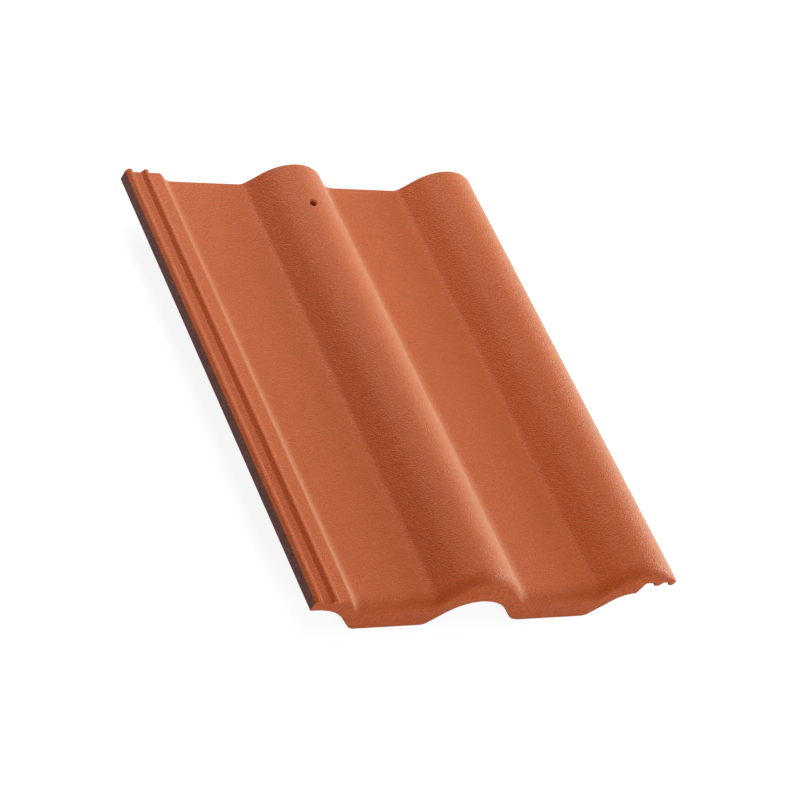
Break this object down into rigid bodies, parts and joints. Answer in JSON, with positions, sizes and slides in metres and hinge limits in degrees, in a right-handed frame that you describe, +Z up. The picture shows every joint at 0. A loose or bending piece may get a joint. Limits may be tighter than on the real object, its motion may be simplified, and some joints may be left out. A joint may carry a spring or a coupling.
{
  "type": "roof tile",
  "caption": "Interlocking wave-profile concrete roof tile with a ribbed side lock, an overlapping cover edge, a rounded front lip, a nail hole and hanging nibs.",
  "frame": {"origin": "centre of the tile's bounding box, on the surface that it lies on", "axes": "+X across the tile from the side lock to the side cover, +Y from the front edge to the head, +Z up through the weather side"},
  "size_m": [0.3272, 0.42, 0.0505],
  "materials": {
    "coated_concrete": "matte terracotta coat with fine sandy grain"
  },
  "bodies": {
    "root": {"roof_tile": "coated_concrete"}
  },
  "joints": []
}
